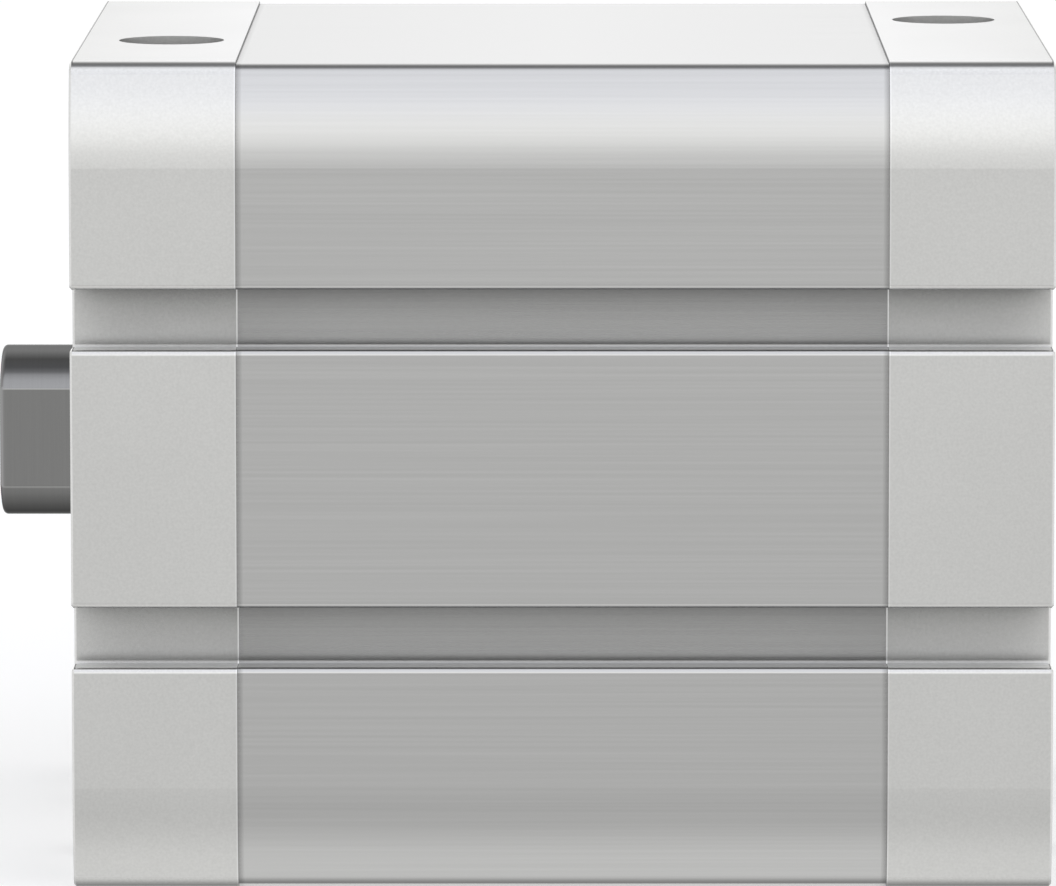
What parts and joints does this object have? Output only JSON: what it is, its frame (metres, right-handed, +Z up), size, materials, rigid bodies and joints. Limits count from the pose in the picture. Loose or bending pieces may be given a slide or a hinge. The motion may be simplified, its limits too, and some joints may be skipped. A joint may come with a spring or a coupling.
{
  "type": "compact pneumatic cylinder",
  "caption": "Compact square pneumatic cylinder: slotted barrel between flat caps, short round rod with wrench flats and a female thread, air ports on top, sensor slots along the sides.",
  "frame": {"origin": "on the cylinder axis, in the plane of the bearing cap's mounting face", "axes": "+X along the cylinder from the rod end to the end cap, +Z up towards the air ports, +Y away from the picture's view"},
  "size_m": [0.0972, 0.0754, 0.0754],
  "materials": {
    "cap_aluminium": "blasted and clear anodised",
    "barrel_aluminium": "extruded, drawn smooth and anodised",
    "piston_aluminium": "turned",
    "screw_steel": "zinc plated",
    "rod_steel": "ground and rolled, high alloy",
    "bush_bronze": "sintered",
    "polyurethane": "moulded",
    "nitrile": "moulded",
    "cushion_elastomer": "moulded",
    "guide_acetal": "moulded",
    "magnet_ferrite": "moulded, plastic bonded"
  },
  "bodies": {
    "housing": {"cylinder_barrel": "barrel_aluminium", "bearing_cap": "cap_aluminium", "end_cap": "cap_aluminium", "bearing_cap_screws": "screw_steel", "end_cap_screws": "screw_steel", "rod_bush": "bush_bronze", "rod_seal": "polyurethane", "bearing_cap_ring": "nitrile", "end_cap_ring": "nitrile", "front_cushion_ring": "cushion_elastomer", "rear_cushion_ring": "cushion_elastomer"},
    "piston_seals": {"piston_front_seal": "polyurethane", "piston_rear_seal": "polyurethane", "guide_ring": "guide_acetal"},
    "piston_and_rod": {"piston_rod": "rod_steel", "piston_front_half": "piston_aluminium", "piston_rear_half": "piston_aluminium", "magnet_ring": "magnet_ferrite", "piston_ring": "nitrile", "piston_screw": "screw_steel"}
  },
  "joints": [
    {"name": "stroke", "type": "slide", "parent": "housing", "child": "piston_seals", "axis": [-1, 0, 0], "range_m": [0, 0.04]},
    {"name": "rod_turn", "type": "hinge", "parent": "piston_seals", "child": "piston_and_rod", "pos_m": [0.0645, 0, 0], "axis": [-1, 0, 0], "continuous": true}
  ]
}
